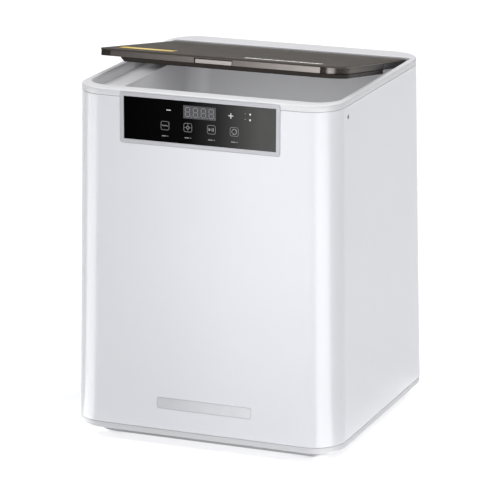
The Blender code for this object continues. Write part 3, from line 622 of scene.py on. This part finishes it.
def printed(name, shapes, look, thick=0.05):
    """Flat printed marks on the glass: each shape is a closed (x, z) outline, or (outer, inner) for a ring."""
    points, faces = [], []
    for shape in shapes:
        pair = shape if isinstance(shape[0], list) else (shape,)
        count, start = len(pair[0]), len(points)
        for outline in pair:
            for depth in (0.02, -thick):
                points += [(x, INK_FACE + depth, z) for x, z in outline]
        for k in range(count):
            n = (k + 1) % count
            back, face = start, start + count
            faces.append((back + k, back + n, face + n, face + k))
            if len(pair) == 2:
                back_in, face_in = start + 2 * count, start + 3 * count
                faces += [(back_in + k, face_in + k, face_in + n, back_in + n),
                          (face + k, face + n, face_in + n, face_in + k),
                          (back + k, back_in + k, back_in + n, back + n)]
        if len(pair) == 1:
            faces += [tuple(range(start, start + count)), tuple(range(start + count, start + 2 * count))]
    return finished(leaned(solid(name, points, faces), FRONT), look)


def tile(cx, cz, half_x, half_z, radius=0.05, steps=2):
    return rounded((cx - half_x, cx + half_x), (cz - half_z, cz + half_z), radius, steps)


def ribbon(path, width):
    """A closed outline round an open (x, z) path."""
    left, right = [], []
    for i, (x, z) in enumerate(path):
        a, b = path[max(i - 1, 0)], path[min(i + 1, len(path) - 1)]
        way = Vector((b[0] - a[0], b[1] - a[1])).normalized()
        left.append((x - way.y * width / 2, z + way.x * width / 2))
        right.append((x + way.y * width / 2, z - way.x * width / 2))
    return left + right[::-1]


def arc(cx, cz, radius, start, end, steps=16):
    return [(cx + radius * math.cos(math.radians(start + (end - start) * k / steps)),
             cz + radius * math.sin(math.radians(start + (end - start) * k / steps))) for k in range(steps + 1)]


def disc(cx, cz, radius, steps=20):
    return arc(cx, cz, radius, 0, 360 * (steps - 1) / steps, steps - 1)


def build_marks():
    low, high = box_mm("display_module")
    mid_x, mid_z = (low.x + high.x) / 2, (low.z + high.z) / 2
    half_x, half_z = (high.x - low.x) / 2, (high.z - low.z) / 2
    printed("display_window", [tile(mid_x, mid_z, half_x, half_z, 0.4, 4)], WINDOW, 0.03)
    segments = []
    for k in range(4):
        cx = mid_x - 14.6 + 9.6 * k
        for dx, dz, along_x in ((0, 5.2, True), (0, 0, True), (0, -5.2, True), (-2.7, 2.6, False),
                                (2.7, 2.6, False), (-2.7, -2.6, False), (2.7, -2.6, False)):
            long, thin = 2.3, 0.45
            if along_x:
                ends = [(-long, 0), (-long + thin, -thin), (long - thin, -thin), (long, 0),
                        (long - thin, thin), (-long + thin, thin)]
            else:
                ends = [(0, -long), (thin, -long + thin), (thin, long - thin), (0, long),
                        (-thin, long - thin), (-thin, -long + thin)]
            segments.append([(cx + dx + a, mid_z + dz + b) for a, b in ends])
        segments.append(disc(cx + 4.4, mid_z - 5.3, 0.6, 12))
    printed("display_segments", segments, SEGMENT, 0.06)

    # Touch marks: minus, plus, two status dots with ticks, and four framed symbols with a dash under each.
    bright = [tile(-38.5, 401.4, 2.7, 0.5), tile(37.6, 401.0, 3.0, 0.45), tile(37.6, 402.8, 0.45, 1.4),
              tile(37.6, 399.2, 0.45, 1.4), disc(60.9, 404.5, 1.15), disc(60.8, 398.0, 1.15)]
    printed("panel_marks", bright, INK_BRIGHT)
    soft = [tile(55.0, 405.0, 0.5, 0.5), tile(55.0, 398.6, 0.5, 0.5)]
    icon_z, label_z = 383.1, 371.2
    centres = (-43.0, -14.9, 13.9, 41.7)
    for cx in centres:
        soft.append((tile(cx, icon_z, 5.1, 5.1, 2.3, 6), tile(cx, icon_z, 4.7, 4.7, 1.9, 6)))
        soft.append(tile(cx - 1.2, label_z, 2.6, 0.5))
        soft.append(tile(cx + 3.4, label_z, 0.8, 0.35))
    printed("panel_icons", soft, INK)
    waves = []
    path = [(centres[0] - 3.9 + 0.65 * k, icon_z + 0.45 * math.sin(k * 1.05)) for k in range(13)]
    waves.append(ribbon(path, 0.7))
    lozenge = [(2.6, 0), (0, 2.6), (-2.6, 0), (0, -2.6)]
    outer = [(centres[1] + a, icon_z + b) for a, b in lozenge]
    inner = [(centres[1] + a * 0.62, icon_z + b * 0.62) for a, b in lozenge]
    waves.append((outer, inner))
    waves += [ribbon([(centres[1] + a * 1.25, icon_z + b * 1.25), (centres[1] + a * 1.55, icon_z + b * 1.55)],
                     0.6) for a, b in lozenge]
    waves.append([(centres[2] + a, icon_z + b) for a, b in ((-3.4, -2.0), (-0.6, 0), (-3.4, 2.0))])
    waves += [tile(centres[2] + dx, icon_z, 0.4, 2.0) for dx in (0.9, 2.6)]
    waves.append(ribbon(arc(centres[3], icon_z, 2.9, 40, 215), 0.7))
    waves.append(ribbon(arc(centres[3], icon_z, 2.9, 250, 385), 0.7))
    for turn in (40, 250):
        tip = arc(centres[3], icon_z, 2.9, turn - 24, turn, 1)
        away = Vector((math.cos(math.radians(turn)), math.sin(math.radians(turn)))) * 1.3
        waves.append([tip[0], (tip[1][0] + away.x, tip[1][1] + away.y), (tip[1][0] - away.x, tip[1][1] - away.y)])
    printed("panel_symbols", waves, INK)


# ---- lid -----------------------------------------------------------------------------------------------
def lid_loop(z, inset, radii, left=0.0):
    """Outline of the closed lid at height z, moved in by inset, and by left more at its left end."""
    return [(x, y, z) for x, y in rounded((COVER_LOW.x + inset + left, COVER_HIGH.x - inset),
                                          (COVER_LOW.y + inset, COVER_HIGH.y - inset), radii)]


COVER_LOW, COVER_HIGH = lid_box_mm("lid_cover")
TRAY_LOW, TRAY_HIGH = lid_box_mm("lid_tray")
LATCH_LOW, LATCH_HIGH = lid_box_mm("lid_latch")
FASCIA_LOW, FASCIA_HIGH = lid_box_mm("lid_fascia")
STRIPE_LOW, STRIPE_HIGH = lid_box_mm("accent_stripe")
BEAM_LOW, BEAM_HIGH = lid_box_mm("lid_hinge_beam")
LID_PLATE_T, LID_R, LID_WALL_R = 2.0, (11.0, 3.0, 3.0, 3.0), (26.0, 3.0, 3.0, 2.4)
TRAY_R, TRAY_SLANT = (24.0, 4.0, 3.0, 3.0), 4.8


def build_lid():
    top, under = COVER_HIGH.z, COVER_HIGH.z - LID_PLATE_T
    edge = eased([(2.0, under, 0), (0, under, 0.35), (0, top, 0.7), (2.0, top, 0)])
    plate = loft("lid_plate_skin", [lid_loop(z, inset, grown_radii(LID_R, -inset)) for inset, z in edge])
    lid_finished(plate, LID_TOP, replaces=["lid_cover"])

    wall_top = under - 0.05
    ring = eased([(1.6, COVER_LOW.z, 0.5), (1.6, wall_top, 0), (4.2, wall_top, 0), (4.2, COVER_LOW.z, 0.3)],
                 closed=True)
    skirt = loft("lid_skirt_skin", [lid_loop(z, inset, grown_radii(LID_WALL_R, 1.6 - inset), -1.4)
                                    for inset, z in ring], ring=True)
    boolean(skirt, block("cut_skirt_latch", (LATCH_LOW.x - 0.4, COVER_LOW.y - 10, 400),
                         (LATCH_HIGH.x + 0.4, COVER_LOW.y + 6.6, 416.2), 0.1))
    boolean(skirt, block("cut_skirt_rear", (-170, BEAM_LOW.y - 0.2, 400), (170, 150, 430), 0.1))
    lid_finished(skirt, LID_WALL)

    beam = block("lid_beam_skin", (BEAM_LOW.x, BEAM_LOW.y, BEAM_LOW.z), (BEAM_HIGH.x, BEAM_HIGH.y, BEAM_HIGH.z),
                 1.6, edge=1.0)
    lid_finished(beam, BLACK, replaces=["lid_hinge_beam"])

    def tray(z, inset):
        left = TRAY_LOW.x + TRAY_SLANT * (TRAY_HIGH.z - z) / (TRAY_HIGH.z - TRAY_LOW.z)
        return [(x, y, z) for x, y in rounded((left + inset, TRAY_HIGH.x - inset),
                                              (TRAY_LOW.y + inset, TRAY_HIGH.y - inset),
                                              grown_radii(TRAY_R, -inset))]

    profile = eased([(6.0, TRAY_LOW.z, 0), (0, TRAY_LOW.z, 1.3), (0, TRAY_HIGH.z, 0.3), (3.0, TRAY_HIGH.z, 0),
                     (3.0, TRAY_LOW.z + 2.0, 0), (6.0, TRAY_LOW.z + 2.0, 0)])
    lid_finished(loft("lid_tray_skin", [tray(z, inset) for inset, z in profile]), LID_TRAY,
                 replaces=["lid_tray"])


def build_lid_trim():
    face, back = FASCIA_LOW.y, FASCIA_HIGH.y
    band = panel_block("lid_fascia_skin", (FASCIA_LOW.x, FASCIA_HIGH.x), (FASCIA_LOW.z, FASCIA_HIGH.z),
                       (back, face), 0.6, edge=0.25)
    boolean(band, block("cut_band", (LATCH_LOW.x - 0.4, -110, 400), (LATCH_HIGH.x + 0.4, -80, 416.2), 0.1))
    lid_finished(band, LID_FASCIA_PAINTED_LIGHT, replaces=["lid_fascia"])
    rear = LATCH_HIGH.y
    latch = panel_block("lid_latch_skin", (LATCH_LOW.x, LATCH_HIGH.x), (LATCH_LOW.z, LATCH_HIGH.z),
                        (rear, LATCH_LOW.y + 0.9), 0.8, edge=0.3)
    lid_finished(latch, LID_TRAY, replaces=["lid_latch"])
    pad = panel_block("lid_latch_pad", (LATCH_LOW.x + 1.3, LATCH_HIGH.x - 0.4), (LATCH_LOW.z + 0.4,
                                                                                LATCH_HIGH.z - 0.9),
                      (LATCH_LOW.y + 1.2, LATCH_LOW.y + 0.1), 0.5, edge=0.3)
    lid_finished(pad, LATCH)
    film = block("accent_stripe_skin", STRIPE_LOW, STRIPE_HIGH, 0.5, edge=0.1)
    lid_finished(film, YELLOW, replaces=["accent_stripe"])

    # A row of small plain dashes near the front edge of the lid.
    top, x, count = COVER_HIGH.z, DASH_X[0], 0
    while x < DASH_X[1]:
        length = DASH_LENGTHS[count % len(DASH_LENGTHS)]
        dash = block(f"lid_dash_{count:02d}", (x, DASH_Y[0], top - 0.05), (x + length, DASH_Y[1], top + 0.05), 0.3)
        lid_finished(dash, DASH)
        x, count = x + length + DASH_GAP, count + 1


DASH = moulded("lid_dash_white", (0.86, 0.85, 0.82), 0.5, spread=0.04)
DASH_X, DASH_Y, DASH_GAP, DASH_LENGTHS = (20.0, 112.0), (-77.0, -66.5), 1.8, (3.6, 2.2, 4.0, 2.8, 2.0, 3.2)


# ---- chamber and drive ---------------------------------------------------------------------------------
def build_chamber():
    low, high = box_mm("chamber_liner")
    thick, grow = 1.5, 0.5
    span_x = (MOUTH_X[0] - grow, MOUTH_X[1] + grow)
    span_y = (MOUTH_Y[0] - grow, MOUTH_Y[1] + grow)

    def wall(z, out):
        return [(x, y, z) for x, y in rounded((span_x[0] - out, span_x[1] + out),
                                              (span_y[0] - out, span_y[1] + out),
                                              grown_radii(MOUTH_R, grow + out))]

    top, floor = high.z, low.z + 2.0
    profile = eased([(thick - 3, low.z, 0), (thick, low.z, 1.5), (thick, top - 1.5, 0), (4.4, top - 1.5, 0),
                     (4.4, top, 0), (0, top, 0.4), (0, floor, 3.0), (-3.5, floor, 0)])
    liner = loft("liner_skin", [wall(z, out) for out, z in profile])
    for side in ("left", "right", "rear"):
        low_d, high_d = grown(f"diffuser_{side}")
        reach = Vector((6, 0, 0)) if side != "rear" else Vector((0, 6, 0))
        boolean(liner, block(f"cut_{side}", low_d - reach, high_d + reach, 0.1))
    low_s, high_s = box_mm("spindle")
    centre = ((low_s.x + high_s.x) / 2, (low_s.y + high_s.y) / 2)
    boolean(liner, turned("cut_spindle", centre, [(5.3, 80, 0), (5.3, 112, 0)]))
    finished(liner, LINER, replaces=["chamber_liner"])

    low_t, high_t = box_mm("turntable")
    radius = (high_t.x - low_t.x) / 2
    table = turned("turntable_skin", centre,
                   [(5.1, low_t.z, 0), (36, low_t.z, 0.9), (36, 105.5, 0.8), (radius, 105.5, 0.9),
                    (radius, high_t.z, 0.7), (radius - 2.6, high_t.z, 0.5), (radius - 3.2, 109.5, 0.4),
                    (5.1, 109.5, 0)], closed=True, steps=96)
    for k in range(6):
        a = math.radians(60 * k)
        slot = block(f"cut_slot_{k}", (48, -3, 98), (84, 3, 120), 2.9)
        slot.data.transform(Matrix.Translation((centre[0] * MM, centre[1] * MM, 0)) @ Matrix.Rotation(a, 4, "Z"))
        boolean(table, slot)
    finished(table, TABLE, "turntable", replaces=["turntable"])


# ---- rear fittings -------------------------------------------------------------------------------------
def build_rear():
    low, high = box_mm("fan_grille")
    cx, cz = (low.x + high.x) / 2, (low.z + high.z) / 2
    y0, y1 = TOP_HALF[1] - 2.6, TOP_HALF[1] - 0.4
    disc_obj = turned("fan_grille_skin", (cx, cz), [(0.5, y0, 0), (28.1, y0, 0.2), (28.1, y1, 0.5), (0.5, y1, 0)],
                      "Y")
    for k in range(5):
        w = 10 * k - 20
        reach = math.sqrt(25.5 ** 2 - (abs(w) + 2.6) ** 2)
        boolean(disc_obj, panel_block(f"cut_grille_{k}", (cx - reach, cx + reach), (cz + w - 2.6, cz + w + 2.6),
                                      (180, 145), 2.55))
    finished(leaned(disc_obj, REAR), BEZEL, replaces=["fan_grille"])

    low, high = box_mm("dc_jack")
    cx, cz, face = (low.x + high.x) / 2, (low.z + high.z) / 2, high.y
    jack = turned("dc_jack_skin", (cx, cz),
                  [(5.7, low.y, 0), (5.7, face - 1.1, 0), (7.5, face - 1.1, 0.2), (7.3, face, 0.5),
                   (3.2, face, 0.3), (3.2, face - 11, 0), (1.0, face - 11, 0), (1.0, face - 1.5, 0.3),
                   (0.1, face - 1.5, 0)], "Y", steps=48)
    finished(jack, BLACK, replaces=["dc_jack"])


def dress_cad():
    """Gives every CAD node that stays in view its procedural material."""
    slots = {row["node"]: row["material_slot"] for row in frame["record"]["subparts"]}
    for name, node in frame["nodes"].items():
        look = DARK_STEEL if name.startswith("shell_screw") else SLOT_LOOKS[slots[name]]
        if not node.material_slots:
            node.data.materials.append(look)
        for place in node.material_slots:
            place.material = look


# ---- stage ---------------------------------------------------------------------------------------------
def build_floor():
    """A wide pale sweep, drawn as a fine disc."""
    floor = turned("floor", (0, 0), [(0.5, -4, 0), (14000, -4, 0), (14000, 0, 0), (0.5, 0, 0)], steps=96)
    recipe = Recipe("floor_pale", 0.9, specular=0.1)
    stops = [(0.3, (0.90, 0.90, 0.905, 1)), (0.7, (0.92, 0.92, 0.925, 1))]
    recipe.colour(recipe.ramp(recipe.noise(2.0, 2.0), stops))
    floor.data.materials.append(recipe.made)
    floor.location.z = -0.0002


def area_light(name, power, size, place, aim, colour=(1, 1, 1)):
    """A soft rectangular light that the camera doesn't see; place and aim are in metres."""
    data = bpy.data.lights.new(name, "AREA")
    data.shape, data.size, data.size_y = "RECTANGLE", size[0], size[1]
    data.energy, data.color = power, colour
    light = bpy.data.objects.new(name, data)
    light.location = place
    light.rotation_mode = "QUATERNION"
    light.rotation_quaternion = (Vector(aim) - Vector(place)).to_track_quat("-Z", "Y")
    light.visible_camera = False
    bpy.context.scene.collection.objects.link(light)
    return light


def polar(azimuth_deg, distance, z):
    """A place round the object: azimuth 0 is in front (-Y), 90 is to the right (+X)."""
    a = math.radians(azimuth_deg)
    return distance * math.sin(a), -distance * math.cos(a), z


def build_lights():
    world = bpy.data.worlds.new("studio")
    bpy.context.scene.world = world
    world.use_nodes = True
    sky = world.node_tree.nodes["Background"]
    sky.inputs["Color"].default_value = (0.97, 0.975, 1.0, 1)
    sky.inputs["Strength"].default_value = 0.32
    area_light("overhead", 480, (9.0, 9.0), (0, 0.8, 4.5), (0, 0.8, 0))
    strip = area_light("strip_front", 0.62, (0.08, 0.75), (0.11, -0.40, 0.46), (0.11, -0.1, 0.46))
    area_light("lid_glow", 0.06, (0.25, 0.09), (-0.02, -0.04, 0.420), (-0.02, -0.04, 0.3))
    area_light("chamber_glow", 0.20, (0.2, 0.2), (0.012, -0.088, 0.27), (0.012, 0.1, 0.27))
    under = area_light("under_glow", 0.33, (0.42, 0.40), (0, 0, 0.0045), (0, 0, 0))
    strip.visible_glossy = under.visible_glossy = False


def build_card(name, corner, azimuths, reach, radiance):
    """A bright wedge lying on the floor that only reflections see: it draws a highlight down one corner."""
    steps = 12
    fan = [(corner[0], corner[1])]
    for k in range(steps + 1):
        a = math.radians(azimuths[0] + (azimuths[1] - azimuths[0]) * k / steps)
        fan.append((corner[0] + reach * math.sin(a), corner[1] - reach * math.cos(a)))
    card = loft(name, [[(x, y, z) for x, y in fan] for z in (0.4, 0.8)])
    recipe = Recipe(name, 0.9, specular=0.0)
    tone = recipe.ramp(recipe.noise(1.0), [(0.3, (0.98, 0.98, 0.98, 1)), (0.7, (1, 1, 1, 1))])
    recipe.colour(tone)
    recipe.link(tone, recipe.shader.inputs["Emission Color"])
    recipe.shader.inputs["Emission Strength"].default_value = radiance
    card.data.materials.append(recipe.made)
    card.visible_camera = card.visible_diffuse = card.visible_transmission = card.visible_shadow = False


def build_flag():
    """A dark board behind the object, out of view, that only reflections see: it keeps the lid's top deep."""
    flag = block("dark_flag", (-4000, 5000, 60), (4000, 5040, 2400), 20)
    recipe = Recipe("flag_black", 0.9, specular=0.0)
    recipe.colour(recipe.ramp(recipe.noise(3.0), [(0.3, (0.02, 0.02, 0.02, 1)), (0.7, (0.03, 0.03, 0.03, 1))]))
    flag.data.materials.append(recipe.made)
    flag.visible_camera = False
    flag.visible_diffuse = False
    flag.visible_transmission = False
    flag.visible_shadow = False


CAMERA_AZIMUTH, CAMERA_DROP, CAMERA_ROLL = 22.16, 15.64, -0.24
CAMERA_DISTANCE, CAMERA_LENS = 3.69987, 224.57
CAMERA_TARGET = Vector((-0.00296, -0.00121, 0.2006))


def build_camera():
    yaw, pitch, roll = (math.radians(v) for v in (-CAMERA_AZIMUTH, -CAMERA_DROP, CAMERA_ROLL))
    ahead = Vector((math.sin(yaw) * math.cos(pitch), math.cos(yaw) * math.cos(pitch), math.sin(pitch)))
    right = Vector((math.cos(yaw), -math.sin(yaw), 0.0))
    up = right.cross(ahead)
    right, up = (right * math.cos(roll) + up * math.sin(roll), up * math.cos(roll) - right * math.sin(roll))
    data = bpy.data.cameras.new("camera")
    data.lens, data.sensor_width = CAMERA_LENS, 36.0
    data.clip_start, data.clip_end = 0.05, 60.0
    camera = bpy.data.objects.new("camera", data)
    turn = Matrix((right, up, -ahead)).transposed().to_4x4()
    camera.matrix_world = Matrix.Translation(CAMERA_TARGET - ahead * CAMERA_DISTANCE) @ turn
    bpy.context.scene.collection.objects.link(camera)
    bpy.context.scene.camera = camera


bpy.context.scene.view_settings.view_transform = "Standard"
build_camera()
dress_cad()
build_shell()
build_rim()
build_base()
build_nameplate()
build_panel()
build_marks()
build_lid()
build_lid_trim()
build_chamber()
build_rear()
build_floor()
build_flag()
build_card("card_right", (125, -120), (26, 74), 2600, 4.2)
build_card("card_left", (-125, -120), (-84, -40), 2600, 4.2)
build_lights()
